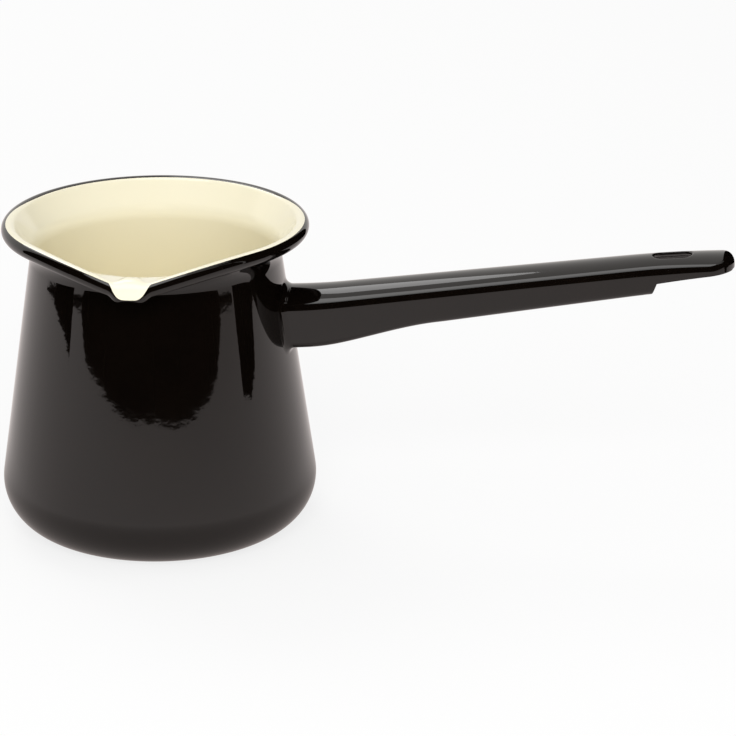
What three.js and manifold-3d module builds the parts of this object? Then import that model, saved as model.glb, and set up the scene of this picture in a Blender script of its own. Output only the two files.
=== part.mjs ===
// Enamelled steel coffee pot with a rolled rim, a pressed pouring lip and a welded hollow handle.
// Millimetres, +Z up. The origin is the centre of the flat base on the surface that it stands on.
// The handle points along +X and the lip pours towards -Y.

import * as THREE from 'three';
import { mergeVertices } from 'three/addons/utils/BufferGeometryUtils.js';
import Module from 'manifold-3d';

const wasm = await Module();
wasm.setup();

// Sheet, coat and clearances
const steelThickness = 0.7;
const enamelThickness = 0.25;
const bondGap = 0.02;
const weldGap = 0.3;

// Pot body, measured over the enamel: the mouth's height is from the neck to the top of the rim
const rimDiameter = 90;
const potHeight = 94.2;
const neckDiameter = 73.9;
const mouthHeight = 10.7;
const bellyDiameter = 93.3;
const baseCornerRadius = 15;

// Bend of the sheet's middle surface at the neck
const neckBendRadius = 6.5;

// Rolled rim: outside radius of the roll, how far it turns from upright, and the black edging's width,
// which grows to a wider one at the back between two angles from the lip
const rimRollRadius = 2.2;
const rimRollTurn = 250;
const edgingWidth = 3.5;
const backEdgingWidth = 5.2;
const edgingGrowsFrom = 90;
const edgingGrowsTo = 135;

// Flanks: the rim is drawn out and down on both sides of the lip, and its roll opens
const flankSpread = 50;
const flankSharpness = 2.1;
const flankReach = 50.9;
const flankDrop = 5.7;
const flankRollRadius = 2.3;
const flankRollTurn = 203;
const flankEdgingWidth = 2.1;
const flankBendRadius = 5.2;

// Pouring lip: the roll is opened out into a short curved spout
const lipMouthWidth = 13.2;
const lipFloorWidth = 2.6;
const lipReach = 50.5;
const lipDrop = 3.5;
const lipRollRadius = 5.5;
const lipRollTurn = 175;
const lipEdgingWidth = 0.2;
const lipBendRadius = 5.5;

// Handle, measured over the steel: its reach is from the pot's axis, its drop from the top of the rim to
// where its top line would meet the axis, its sweep from the wall, and the lengths of its droop and of its
// open tip from its end
const handleReach = 168.7;
const handleDrop = 25.5;
const handleRise = 7.31;
const rootWidth = 18;
const tipWidth = 14.4;
const rootDepth = 16.2;
const shaftDepth = 11.93;
const foldEndDepth = 9.4;
const tipDepth = 6.1;
const tipEndDepth = 3.9;
const tipEdgeRadius = 2;
const droopLength = 30.7;
const tipDroop = 1.4;
const sweepStart = 6;
const sweepLength = 46;
const openTipLength = 21.9;
const foldEndSlope = 1.8;
const crownRadius = 13;
const crownShare = 0.76;
const shoulderRadius = 3;
const shoulderShare = 0.5;
const foldRadius = 2;
const foldShare = 0.2;
const seamWidth = 3;

// Hanging slot, with its middle at a distance from the handle's end
const slotLength = 11.2;
const slotWidth = 5.6;
const slotFromEnd = 17.7;

// Weld fillet round the handle's root
const weldLeg = 2.1;

// Facets
const cornerSteps = 5;
const bendSteps = 4;
const flareSteps = 4;
const rollSteps = 5;
const lipSteps = 6;
const flankSteps = 6;
const backSteps = 9;
const shoulderSteps = 4;
const foldSteps = 2;
const crownSteps = 4;
const shaftSteps = 7;
const tipSteps = 5;
const tipLastTurn = 88;
const slotSteps = 6;
const weldSteps = 3;
const mergeTolerance = 1e-4;
const wallPasses = 3;

const degrees = Math.PI / 180;
const halfSteel = steelThickness / 2;
const coatInside = halfSteel + bondGap;
const coatOutside = coatInside + enamelThickness;
const neckHeight = potHeight - mouthHeight;
const handleTopAtAxis = potHeight - handleDrop;

const mix = (a, b, t) => a + (b - a) * t;
const smooth = (t) => t * t * (3 - 2 * t);
const clamp = (t) => Math.min(1, Math.max(0, t));

// Materials
const bareSteel = new THREE.MeshStandardMaterial({ color: 0x8b8e90, roughness: 0.45, metalness: 1 });
const blackEnamel = new THREE.MeshStandardMaterial({ color: 0x0c0b0a, roughness: 0.08, metalness: 0 });
const creamEnamel = new THREE.MeshStandardMaterial({ color: 0xf3e8c4, roughness: 0.12, metalness: 0 });
const blackEdging = blackEnamel.clone();
const handleSteel = bareSteel.clone();
const handleBlack = blackEnamel.clone();
const weldBlack = blackEnamel.clone();

// A closed body from a grid of points. Each ring holds one closed section and the rings either close
// into a loop or are capped at both ends from the ring's middle. Ranks say which way each four-sided face
// is split, so that neighbouring layers split theirs alike. In a loop the second half splits the other
// way, so that both sides of the lip are mirror images.
function gridGeometry(rings, { loop, ranks }) {
  const middleOf = (ring) => {
    const sum = ring.reduce((total, point) => total.add(point), new THREE.Vector3());
    return sum.divideScalar(ring.length);
  };
  const positions = [];
  const addTriangle = (a, b, c) => {
    if (a.equals(b) || b.equals(c) || c.equals(a)) return;
    positions.push(...a.toArray(), ...b.toArray(), ...c.toArray());
  };
  const size = rings[0].length;
  const spans = loop ? rings.length : rings.length - 1;
  const mirrorFrom = loop ? rings.length / 2 : rings.length;
  for (let j = 0; j < spans; j++) {
    const here = rings[j];
    const next = rings[(j + 1) % rings.length];
    for (let k = 0; k < size; k++) {
      const m = (k + 1) % size;
      const rising = ranks[k] <= ranks[m];
      if (rising === (j < mirrorFrom)) {
        addTriangle(here[k], next[k], next[m]);
        addTriangle(here[k], next[m], here[m]);
      } else {
        addTriangle(here[k], next[k], here[m]);
        addTriangle(here[m], next[k], next[m]);
      }
    }
  }
  if (!loop) {
    const first = rings[0];
    const last = rings[rings.length - 1];
    const firstMiddle = middleOf(first);
    const lastMiddle = middleOf(last);
    for (let k = 0; k < size; k++) {
      const m = (k + 1) % size;
      addTriangle(firstMiddle, first[k], first[m]);
      addTriangle(lastMiddle, last[m], last[k]);
    }
  }
  const geometry = new THREE.BufferGeometry();
  geometry.setAttribute('position', new THREE.Float32BufferAttribute(positions, 3));
  return mergeVertices(geometry, mergeTolerance);
}

// Cutting one closed body with others
function toManifold(geometry) {
  const bare = geometry.clone();
  bare.deleteAttribute('normal');
  bare.deleteAttribute('uv');
  const merged = mergeVertices(bare, mergeTolerance);
  return new wasm.Manifold(new wasm.Mesh({
    numProp: 3,
    vertProperties: new Float32Array(merged.attributes.position.array),
    triVerts: new Uint32Array(merged.index.array),
  }));
}

function cutAway(geometry, cutters) {
  let solid = toManifold(geometry);
  for (const cutter of cutters) solid = solid.subtract(toManifold(cutter));
  const mesh = solid.getMesh();
  const result = new THREE.BufferGeometry();
  result.setAttribute('position', new THREE.BufferAttribute(mesh.vertProperties, 3));
  result.setIndex(new THREE.BufferAttribute(mesh.triVerts, 1));
  return result;
}

// Rim states. Every state gives the sheet's section above the wall: the reach and crest of the rolled edge
// over the enamel, its radius, how far it turns, how wide the black edging is and the bend at the neck.
const plainRim = {
  reach: rimDiameter / 2,
  crest: potHeight,
  rollRadius: rimRollRadius,
  rollTurn: rimRollTurn * degrees,
  edging: edgingWidth,
  bendRadius: neckBendRadius,
};
const flankRim = {
  reach: flankReach,
  crest: potHeight - flankDrop,
  rollRadius: flankRollRadius,
  rollTurn: flankRollTurn * degrees,
  edging: flankEdgingWidth,
  bendRadius: flankBendRadius,
};
const lipRim = {
  reach: lipReach,
  crest: potHeight - lipDrop,
  rollRadius: lipRollRadius,
  rollTurn: lipRollTurn * degrees,
  edging: lipEdgingWidth,
  bendRadius: lipBendRadius,
};
const lipMouthAngle = lipMouthWidth / 2 / lipReach;
const lipFloorAngle = lipFloorWidth / 2 / lipReach;

function mixRims(a, b, t) {
  const rim = {};
  for (const key of Object.keys(a)) rim[key] = mix(a[key], b[key], t);
  return rim;
}

function rimAt(angle) {
  const away = Math.abs(angle);
  const flank = Math.max(0, 1 - away / (flankSpread * degrees)) ** flankSharpness;
  const lip = 1 - smooth(clamp((away - lipFloorAngle) / (lipMouthAngle - lipFloorAngle)));
  const back = smooth(clamp((away / degrees - edgingGrowsFrom) / (edgingGrowsTo - edgingGrowsFrom)));
  const roundRim = { ...plainRim, edging: mix(edgingWidth, backEdgingWidth, back) };
  return mixRims(mixRims(roundRim, flankRim, flank), lipRim, lip);
}

// The wall is the same all round: a flat base, a corner arc and a straight lean that touches both the
// corner's arc and the neck's bend.
const cornerRadius = baseCornerRadius - coatOutside;
const cornerCentre = { r: bellyDiameter / 2 - baseCornerRadius, z: baseCornerRadius };
const neckCentre = { r: neckDiameter / 2 - coatOutside + neckBendRadius, z: neckHeight };
const centreGap = { r: neckCentre.r - cornerCentre.r, z: neckCentre.z - cornerCentre.z };
const wallLean = Math.atan2(centreGap.z, centreGap.r)
  - Math.acos((cornerRadius + neckBendRadius) / Math.hypot(centreGap.r, centreGap.z));

function cornerPoint(angle) {
  const normal = { r: Math.cos(angle), z: Math.sin(angle) };
  return {
    r: cornerCentre.r + cornerRadius * normal.r,
    z: cornerCentre.z + cornerRadius * normal.z,
    normal,
  };
}

// Outside radius of the leaning wall at a height, at a distance outside the sheet's middle surface
function wallRadius(z, outside) {
  const reach = cornerCentre.r * Math.cos(wallLean) + cornerCentre.z * Math.sin(wallLean)
    + cornerRadius + outside;
  return (reach - z * Math.sin(wallLean)) / Math.cos(wallLean);
}

// The sheet's middle surface above the wall: a bend at the neck, a straight flare and the roll, each
// touching the next. Turns are measured outward from upright.
function flareArcs(rim) {
  const roll = {
    centre: { r: rim.reach - rim.rollRadius, z: rim.crest - rim.rollRadius },
    radius: rim.rollRadius - coatOutside,
  };
  const bend = {
    centre: { r: neckCentre.r + (rim.bendRadius - neckBendRadius) / Math.cos(wallLean), z: neckHeight },
    radius: rim.bendRadius,
  };
  const across = roll.centre.r - bend.centre.r;
  const rise = roll.centre.z - bend.centre.z;
  const tighter = roll.radius - bend.radius;
  const flareTurn = Math.acos(tighter / Math.hypot(across, rise)) - Math.atan2(rise, across);
  const flareLength = Math.sqrt(across * across + rise * rise - tighter * tighter);
  const length = flareLength + roll.radius * (rim.rollTurn - flareTurn);
  return { bend, roll, flareTurn, flareLength, length };
}

// A point of the path with the direction that faces the outside of the pot
function arcPoint({ centre, radius }, turn) {
  const normal = { r: Math.cos(turn), z: -Math.sin(turn) };
  return { r: centre.r - radius * normal.r, z: centre.z - radius * normal.z, normal };
}

// A point of the flare or the roll, at a distance from the end of the bend
function flarePoint(arcs, along) {
  if (along < arcs.flareLength) {
    const { r, z, normal } = arcPoint(arcs.bend, arcs.flareTurn);
    return { r: r - along * normal.z, z: z + along * normal.r, normal };
  }
  return arcPoint(arcs.roll, arcs.flareTurn + (along - arcs.flareLength) / arcs.roll.radius);
}

const seamIndex = 1 + cornerSteps + 1 + bendSteps + flareSteps;

// The whole path from the base's centre to the end of the rolled edge, at one angle from the lip
function sheetPath(angle) {
  const rim = rimAt(angle);
  const arcs = flareArcs(rim);
  const seam = arcs.length - rim.edging;
  const down = { r: 0, z: -1 };
  const path = [{ r: 0, z: coatOutside, normal: down }];
  for (let i = 0; i <= cornerSteps; i++) {
    path.push(cornerPoint(mix(-Math.PI / 2, wallLean, i / cornerSteps)));
  }
  for (let i = 0; i < bendSteps; i++) {
    path.push(arcPoint(arcs.bend, mix(-wallLean, arcs.flareTurn, i / bendSteps)));
  }
  for (let i = 0; i < flareSteps; i++) path.push(flarePoint(arcs, seam * (i / flareSteps)));
  for (let i = 0; i <= rollSteps; i++) path.push(flarePoint(arcs, mix(seam, arcs.length, i / rollSteps)));
  return path;
}

// A section point at a distance outside the middle surface and a distance onward along the path. Its rank
// grows along the path and, at one place on the path, from the inside out.
function offsetPoint(path, index, outside, onward = 0) {
  const point = path[index];
  return {
    r: Math.max(0, point.r + outside * point.normal.r - onward * point.normal.z),
    z: point.z + outside * point.normal.z + onward * point.normal.r,
    rank: index + (onward + outside / potHeight) / potHeight,
  };
}

// Angles round the pot, measured from the lip, closer together where the rim changes most
function anglesFromLip() {
  const half = [0];
  for (let i = 1; i <= lipSteps; i++) half.push(mix(0, lipMouthAngle, i / lipSteps));
  const flankEnd = flankSpread * degrees;
  for (let i = 1; i <= flankSteps; i++) half.push(mix(lipMouthAngle, flankEnd, i / flankSteps));
  for (let i = 1; i <= backSteps; i++) half.push(mix(flankEnd, Math.PI, i / backSteps));
  const otherHalf = half.slice(1, -1).reverse().map((angle) => -angle);
  return [...half, ...otherHalf];
}

// A layer of the pot between two distances from the sheet's middle surface, from one path index to another
function layerSection(path, first, last, inside, outside) {
  const section = [];
  for (let i = first; i <= last; i++) section.push(offsetPoint(path, i, outside));
  for (let i = last; i >= first; i--) section.push(offsetPoint(path, i, inside));
  return section;
}

// The edging also wraps the end of the sheet, with a point for each edge of the layers that it covers
function edgingSection(path) {
  const end = path.length - 1;
  const section = [];
  for (let i = seamIndex; i <= end; i++) section.push(offsetPoint(path, i, -coatInside));
  for (const edge of [-coatInside, -halfSteel, halfSteel, coatInside, coatOutside]) {
    section.push(offsetPoint(path, end, edge, bondGap));
  }
  section.push(offsetPoint(path, end, coatOutside, bondGap + enamelThickness));
  section.push(offsetPoint(path, end, -coatOutside, bondGap + enamelThickness));
  for (let i = end; i >= seamIndex; i--) section.push(offsetPoint(path, i, -coatOutside));
  return section;
}

function roundThePot(sectionOf) {
  let ranks;
  const rings = anglesFromLip().map((angle) => {
    const section = sectionOf(sheetPath(angle));
    ranks = section.map((point) => point.rank);
    const turn = angle - Math.PI / 2;
    return section.map(({ r, z }) => new THREE.Vector3(r * Math.cos(turn), r * Math.sin(turn), z));
  });
  return gridGeometry(rings, { loop: true, ranks });
}

// Handle: its top line, its width and the depth of its sides at a distance from the axis
const riseSlope = Math.tan(handleRise * degrees);
const rootX = wallRadius(handleTopAtAxis, halfSteel);
const foldEnd = handleReach - openTipLength;
const slotCentre = handleReach - slotFromEnd;

// Height of the top line above where it would meet the axis: straight, and drooping a little at the tip
function topLine(x) {
  const along = Math.max(0, (x - handleReach) / droopLength + 1);
  return x * riseSlope - tipDroop * along * along;
}

function shaftWidth(x) {
  return mix(rootWidth, tipWidth, clamp((x - rootX) / (foldEnd - rootX)));
}

function foldDepth(x) {
  const out = x - rootX;
  const straight = clamp((out - sweepLength) / (foldEnd - rootX - sweepLength));
  const sweep = smooth(clamp((out - sweepStart) / (sweepLength - sweepStart)));
  return mix(rootDepth, mix(shaftDepth, foldEndDepth, straight), sweep);
}

function sideDepth(x) {
  const tip = mix(tipDepth, tipEndDepth, clamp((x - foldEnd) / openTipLength));
  return mix(foldDepth(x), tip, clamp((x - foldEnd + foldEndSlope) / foldEndSlope));
}

// How much the rounded end narrows the handle and lowers its top, grown by an offset
function endRounding(x, grow) {
  const endRadius = tipWidth / 2 + grow;
  const end = handleReach + grow;
  const alongPlan = clamp((x - end + endRadius) / endRadius);
  const edge = tipEdgeRadius + grow;
  const alongTop = clamp((x - end + edge) / edge);
  return {
    width: Math.sqrt(1 - alongPlan * alongPlan),
    drop: edge * (1 - Math.sqrt(1 - alongTop * alongTop)),
  };
}

// One closed section of the handle as [y, height above the top line], grown by an offset: a crowned top,
// round shoulders, straight sides and folded edges. It runs clockwise as seen from the pot, from the near
// fold over both shoulders. Where the sides are low, the shoulders shrink and the crown is flatter.
function handleSection(x, depth, grow) {
  const rounding = endRounding(x, grow);
  const half = (shaftWidth(x) / 2 + grow) * rounding.width;
  const top = grow - rounding.drop;
  const bottom = -depth - grow;
  const height = top - bottom;
  const shoulder = Math.min(shoulderRadius + grow, half * shoulderShare, height * shoulderShare);
  const fold = Math.min(foldRadius + grow, half * shoulderShare, height * foldShare);
  const chord = half - shoulder;
  const room = height * crownShare - shoulder;
  const crown = shoulder + Math.max(
    crownRadius + grow - shoulder,
    (chord * chord + room * room) / (2 * room),
  );
  const crownTurn = Math.asin(chord / (crown - shoulder));
  const shoulderHeight = top - crown + (crown - shoulder) * Math.cos(crownTurn);
  const shoulderTurn = Math.PI / 2 - crownTurn;
  const section = [];
  const addArc = (side, centreHeight, radius, from, to, steps) => {
    for (let i = 0; i <= steps; i++) {
      const angle = mix(from, to, i / steps);
      const y = side * (half - radius + radius * Math.cos(angle));
      section.push([y, centreHeight + radius * Math.sin(angle)]);
    }
  };
  addArc(-1, bottom + fold, fold, -Math.PI / 2, 0, foldSteps);
  addArc(-1, shoulderHeight, shoulder, 0, shoulderTurn, shoulderSteps);
  for (let i = 1; i < crownSteps; i++) {
    const angle = mix(-crownTurn, crownTurn, i / crownSteps);
    section.push([crown * Math.sin(angle), top - crown + crown * Math.cos(angle)]);
  }
  addArc(1, shoulderHeight, shoulder, shoulderTurn, 0, shoulderSteps);
  addArc(1, bottom + fold, fold, 0, -Math.PI / 2, foldSteps);
  for (let i = 1; i < crownSteps; i++) {
    section.push([mix(half - fold, fold - half, i / crownSteps), bottom]);
  }
  return section;
}

// Points of a section set off from the wall. Near the pot the section follows the round, leaning wall.
function atWallDistance(distance, section) {
  const follow = 1 - smooth(clamp(distance / sweepLength));
  return section.map(([y, height]) => {
    let x = rootX;
    for (let i = 0; i < wallPasses; i++) {
      const radius = wallRadius(handleTopAtAxis + topLine(x) + height, halfSteel);
      x = Math.sqrt(radius * radius - y * y);
    }
    const placed = mix(rootX, x, follow) + distance;
    return new THREE.Vector3(placed, y, topLine(placed) + height);
  });
}

// Distances from the wall at which the handle's sections stand
function handleStations(first, grow) {
  const stations = [first];
  for (let i = 0; i <= shaftSteps; i++) {
    stations.push(mix(sweepStart, foldEnd - foldEndSlope - rootX, i / shaftSteps));
  }
  stations.push(foldEnd - rootX);
  const end = handleReach + grow - rootX;
  const roundStart = handleReach - tipWidth / 2 - rootX;
  for (let i = 0; i <= tipSteps; i++) {
    stations.push(mix(roundStart, end, Math.sin((i / tipSteps) * tipLastTurn * degrees)));
  }
  return stations;
}

function handleLoft(stations, depthAt, grow) {
  const rings = stations.map((distance) => {
    const x = rootX + distance;
    return atWallDistance(distance, handleSection(x, depthAt(x), grow));
  });
  return gridGeometry(rings, { loop: false, ranks: rings[0].map((_, k) => k) });
}

// Cutters for the handle: the hollow inside, the seam underneath and the hanging slot
function handleHollow() {
  return handleLoft(handleStations(-weldGap, -steelThickness), foldDepth, -steelThickness);
}

function handleSeam() {
  const half = seamWidth / 2;
  const stations = handleStations(-weldGap, 0).filter((distance) => rootX + distance <= foldEnd);
  const rings = stations.map((distance) => {
    const depth = foldDepth(rootX + distance);
    const low = -depth - foldRadius;
    const high = -depth + foldRadius;
    return atWallDistance(distance, [[-half, low], [-half, high], [half, high], [half, low]]);
  });
  return gridGeometry(rings, { loop: false, ranks: [0, 1, 2, 3] });
}

function hangingSlot() {
  const straight = (slotLength - slotWidth) / 2;
  const outline = new THREE.Shape();
  outline.absarc(straight, 0, slotWidth / 2, -Math.PI / 2, Math.PI / 2, false);
  outline.absarc(-straight, 0, slotWidth / 2, Math.PI / 2, Math.PI * 1.5, false);
  const depth = 2 * rootDepth;
  const prism = new THREE.ExtrudeGeometry(outline, { depth, bevelEnabled: false, curveSegments: slotSteps });
  return prism.translate(slotCentre, 0, slotCentre * riseSlope - rootDepth);
}

function handleShellGeometry() {
  const outside = handleLoft(handleStations(weldGap, 0), sideDepth, 0);
  return cutAway(outside, [handleHollow(), handleSeam(), hangingSlot()]);
}

function handleEnamelGeometry() {
  const start = weldLeg + weldGap;
  const coat = bondGap + enamelThickness;
  const outside = handleLoft(handleStations(start, coat), sideDepth, coat);
  const inside = handleLoft(handleStations(0, bondGap), sideDepth, bondGap);
  return cutAway(outside, [inside, handleHollow(), handleSeam(), hangingSlot()]);
}

// The weld is a hollow-faced fillet that runs once round the root
function rootWeldGeometry() {
  const fillet = [[weldLeg, bondGap]];
  for (let i = 0; i <= weldSteps; i++) {
    const angle = (i / weldSteps) * 90 * degrees;
    fillet.push([
      mix(weldLeg, weldGap, Math.sin(angle)),
      mix(weldLeg, bondGap + enamelThickness, Math.cos(angle)),
    ]);
  }
  fillet.push([weldGap, bondGap]);
  const rings = fillet.map(([distance, grow]) => {
    const x = rootX + distance;
    return atWallDistance(distance, handleSection(x, sideDepth(x), grow));
  });
  const around = rings[0].map((_, k) => rings.map((ring) => ring[k]));
  return gridGeometry(around, { loop: true, ranks: fillet.map((_, k) => k) });
}

// The black coat leaves the steel bare where the handle and its weld meet the wall
function weldClearing() {
  const clearing = weldLeg + weldGap;
  const rings = [-clearing, clearing].map((distance) => {
    const x = rootX + distance;
    return atWallDistance(distance, handleSection(x, sideDepth(x), clearing)).map((point) => {
      point.z += handleTopAtAxis;
      return point;
    });
  });
  return gridGeometry(rings, { loop: false, ranks: rings[0].map((_, k) => k) });
}

// Assembly
function namedMesh(name, geometry, material) {
  geometry.computeVertexNormals();
  const mesh = new THREE.Mesh(geometry, material);
  mesh.name = name;
  return mesh;
}

const pot = new THREE.Group();
const lastIndex = seamIndex + rollSteps;
const steelLayer = roundThePot((path) => layerSection(path, 0, lastIndex, -halfSteel, halfSteel));
const outerLayer = roundThePot((path) => layerSection(path, 0, lastIndex, coatInside, coatOutside));
const innerLayer = roundThePot((path) => layerSection(path, 0, seamIndex, -coatOutside, -coatInside));
pot.add(
  namedMesh('body_shell', steelLayer, bareSteel),
  namedMesh('outer_enamel', cutAway(outerLayer, [weldClearing()]), blackEnamel),
  namedMesh('inner_enamel', innerLayer, creamEnamel),
  namedMesh('rim_edging', roundThePot(edgingSection), blackEdging),
);

const handle = new THREE.Group();
handle.position.z = handleTopAtAxis;
handle.add(
  namedMesh('handle_shell', handleShellGeometry(), handleSteel),
  namedMesh('handle_enamel', handleEnamelGeometry(), handleBlack),
  namedMesh('root_weld', rootWeldGeometry(), weldBlack),
);

const coffeePot = new THREE.Group();
coffeePot.name = 'coffee_pot';
coffeePot.add(pot, handle);

export default coffeePot;
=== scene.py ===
# %% [markdown]
# # An enamelled Turkish coffee pot
# The real pot is one deep steel pressing with a folded steel handle welded to it. It was dipped in black
# enamel and lined with cream enamel, and each coat was fired until it melted into a glossy glass skin.
# The CAD model gives every size and place. This script loads it as a fixed frame and dresses it with
# finer skins, because gloss shows every flat facet of a coarse mesh. Sizes are in millimetres, and they
# become metres when a mesh is made.

# %% Load the frame
import math

import bmesh
import bpy
import numpy as np
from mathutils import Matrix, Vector


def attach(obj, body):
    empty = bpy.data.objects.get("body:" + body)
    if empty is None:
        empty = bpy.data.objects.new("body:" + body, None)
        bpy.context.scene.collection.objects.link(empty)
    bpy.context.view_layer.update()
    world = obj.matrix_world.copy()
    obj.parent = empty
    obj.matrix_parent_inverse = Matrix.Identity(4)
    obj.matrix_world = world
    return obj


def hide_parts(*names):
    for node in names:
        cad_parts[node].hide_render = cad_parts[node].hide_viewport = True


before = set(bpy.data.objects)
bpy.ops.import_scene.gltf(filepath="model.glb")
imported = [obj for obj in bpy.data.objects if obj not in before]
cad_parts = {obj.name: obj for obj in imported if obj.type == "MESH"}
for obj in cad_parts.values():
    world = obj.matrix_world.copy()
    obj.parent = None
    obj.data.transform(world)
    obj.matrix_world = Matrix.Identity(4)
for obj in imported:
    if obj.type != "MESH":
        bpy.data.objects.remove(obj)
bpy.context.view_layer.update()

# %% [markdown]
# ## The camera
# A product photograph is taken from some way off with a long lens, so the near side isn't blown up. The
# distance, height and turn here were found by fitting the rim, the base and both outlines. The lens
# follows from how many pixels a millimetre takes at the point that the camera looks at.

# %% Camera
MM = 0.001
image_side = 736
pixels_per_mm = 3.372
sensor_width = 36.0
camera_distance = 1100.0
camera_elevation = math.radians(19.9)
camera_turn = math.radians(5.65)
look_at_right = 62.18
look_at_height = 47.6

to_right = Vector((math.cos(camera_turn), math.sin(camera_turn), 0))
to_back = Vector((-math.sin(camera_turn), math.cos(camera_turn), 0))
up = Vector((0, 0, 1))
look_at = to_right * look_at_right + up * look_at_height
sight = to_back * math.cos(camera_elevation) - up * math.sin(camera_elevation)

camera_data = bpy.data.cameras.new("camera")
camera_data.sensor_width = sensor_width
camera_data.lens = pixels_per_mm * camera_distance / image_side * sensor_width
camera = bpy.data.objects.new("camera", camera_data)
camera.location = (look_at - sight * camera_distance) * MM
camera.rotation_euler = sight.to_track_quat("-Z", "Y").to_euler()
bpy.context.scene.collection.objects.link(camera)
bpy.context.scene.camera = camera
print("Lens:", round(camera_data.lens, 1), "mm")

# %% [markdown]
# ## Skins from grids of points
# Pressed and folded sheet is easiest to describe as a row of sections, so every piece here is a grid: one
# closed section for each station, joined to the next with four-sided faces. Points that fall together,
# such as those at the middle of the base, are merged. Faces meeting at more than a set angle keep a crisp
# edge.

# %% Grid helper
crisp_angle = math.radians(38)
merge_distance = 1e-7


def grid_faces(rows, columns, close_rows, close_columns):
    faces = []
    for i in range(rows if close_rows else rows - 1):
        for j in range(columns if close_columns else columns - 1):
            here = i * columns
            there = (i + 1) % rows * columns
            beside = (j + 1) % columns
            faces.append((here + j, there + j, there + beside, here + beside))
    return faces


def make_piece(name, points, faces):
    """An object with a smooth mesh from points in millimetres."""
    mesh = bpy.data.meshes.new(name)
    mesh.from_pydata([tuple(point) for point in np.asarray(points) * MM], [], faces)
    shape = bmesh.new()
    shape.from_mesh(mesh)
    bmesh.ops.remove_doubles(shape, verts=shape.verts, dist=merge_distance)
    bmesh.ops.recalc_face_normals(shape, faces=shape.faces)
    shape.to_mesh(mesh)
    shape.free()
    mesh.shade_smooth()
    mesh.set_sharp_from_angle(angle=crisp_angle)
    piece = bpy.data.objects.new(name, mesh)
    bpy.context.scene.collection.objects.link(piece)
    print(name, "has", len(mesh.polygons), "faces")
    return piece


# %% [markdown]
# ## The rim and its pouring lip
# The edge of the pressing is rolled over so that it isn't sharp. At the front the rim is drawn out and
# down, and the roll is opened into a small spout. One way would be to model a round rim and push a dent
# into it. Here the rim has four states, and each angle round the pot mixes them, so every section stays
# true: a bend at the neck, a straight flare and a roll. The four are the plain round rim, the back, where
# the black edging on the roll is wider, the drawn-out flank on both sides of the lip, and the lip itself.

# %% Rim states
pot_height = 94.2
round_reach, flank_reach, lip_reach = 45.0, 50.9, 50.5
flank_drop, lip_drop = 5.7, 3.5
RIM_KEYS = ("reach", "crest", "roll_radius", "roll_turn", "edging", "bend_radius")


def rim_state(**sizes):
    """A state as an array, so that two states can be mixed."""
    return np.array([sizes[key] for key in RIM_KEYS])


round_rim = rim_state(
    reach=round_reach, crest=pot_height, bend_radius=6.5,
    roll_radius=2.2, roll_turn=math.radians(250), edging=3.7,
)
back_rim = rim_state(
    reach=round_reach, crest=pot_height, bend_radius=6.5,
    roll_radius=2.2, roll_turn=math.radians(250), edging=5.2,
)
flank_rim = rim_state(
    reach=flank_reach, crest=pot_height - flank_drop, bend_radius=5.2,
    roll_radius=2.3, roll_turn=math.radians(203), edging=2.6,
)
lip_rim = rim_state(
    reach=lip_reach, crest=pot_height - lip_drop, bend_radius=5.5,
    roll_radius=5.5, roll_turn=math.radians(175), edging=0.2,
)
print("Rim states have", len(RIM_KEYS), "sizes each")

# %% [markdown]
# ## Mixing the states
# A press draws metal from all round a dent, so the rim leaves its circle gently and the lip itself has
# steep sides. The flank fades out with a power of the angle, and the lip with a smooth step. The wider
# edging at the back fades out with a smooth step as well.


# %% Mix the states
def mix(a, b, t):
    return a + (b - a) * t


def clamp(t):
    return min(1.0, max(0.0, t))


def smooth(t):
    return t * t * (3 - 2 * t)


back_edging_middle = math.radians(-170)
back_edging_near, back_edging_far = math.radians(55), math.radians(98)
flank_spread = math.radians(50)
flank_sharpness = 2.1
lip_floor_half, lip_mouth_half = 1.3, 6.6
lip_floor_angle = lip_floor_half / lip_reach
lip_mouth_angle = lip_mouth_half / lip_reach


def rim_at(angle):
    """The rim's state at an angle from the middle of the lip."""
    away = abs(angle)
    flank = max(0.0, 1 - away / flank_spread) ** flank_sharpness
    lip = 1 - smooth(clamp((away - lip_floor_angle) / (lip_mouth_angle - lip_floor_angle)))
    from_back = abs(math.remainder(angle - back_edging_middle, 2 * math.pi))
    narrowing = clamp((from_back - back_edging_near) / (back_edging_far - back_edging_near))
    plain = mix(back_rim, round_rim, smooth(narrowing))
    return dict(zip(RIM_KEYS, mix(mix(plain, flank_rim, flank), lip_rim, lip)))


print("The rim's crest at the lip:", round(rim_at(0.0)["crest"], 2))
print("The rim's crest at the back:", round(rim_at(math.pi)["crest"], 2))

# %% [markdown]
# ## The wall
# Below the neck the pot is the same all round: a flat base, a round corner and a wall that leans in. An
# outline drawn point by point would do, but gloss shows a kink wherever two stretches meet badly. So the
# lean is worked out as the slope of the line that touches both the corner's arc and the neck's bend.
# Everything is measured from the middle of the steel sheet: a coat lies between `coat_back` and
# `coat_face` from there.

# %% Wall
half_steel = 0.35
coat_back = 0.37
coat_face = 0.62
neck_radius = 36.95
mouth_height = 10.7
neck_height = pot_height - mouth_height
corner_outside = 15.0
belly_radius = 46.65
corner_radius = corner_outside - coat_face
corner_centre = (belly_radius - corner_outside, corner_outside)
plain_bend = rim_at(math.pi)["bend_radius"]
plain_centre = (neck_radius - coat_face + plain_bend, neck_height)
gap_across = plain_centre[0] - corner_centre[0]
gap_up = plain_centre[1] - corner_centre[1]
touching = (corner_radius + plain_bend) / math.hypot(gap_across, gap_up)
wall_lean = math.atan2(gap_up, gap_across) - math.acos(touching)
print("The wall leans", round(math.degrees(wall_lean), 2), "degrees")


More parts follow.
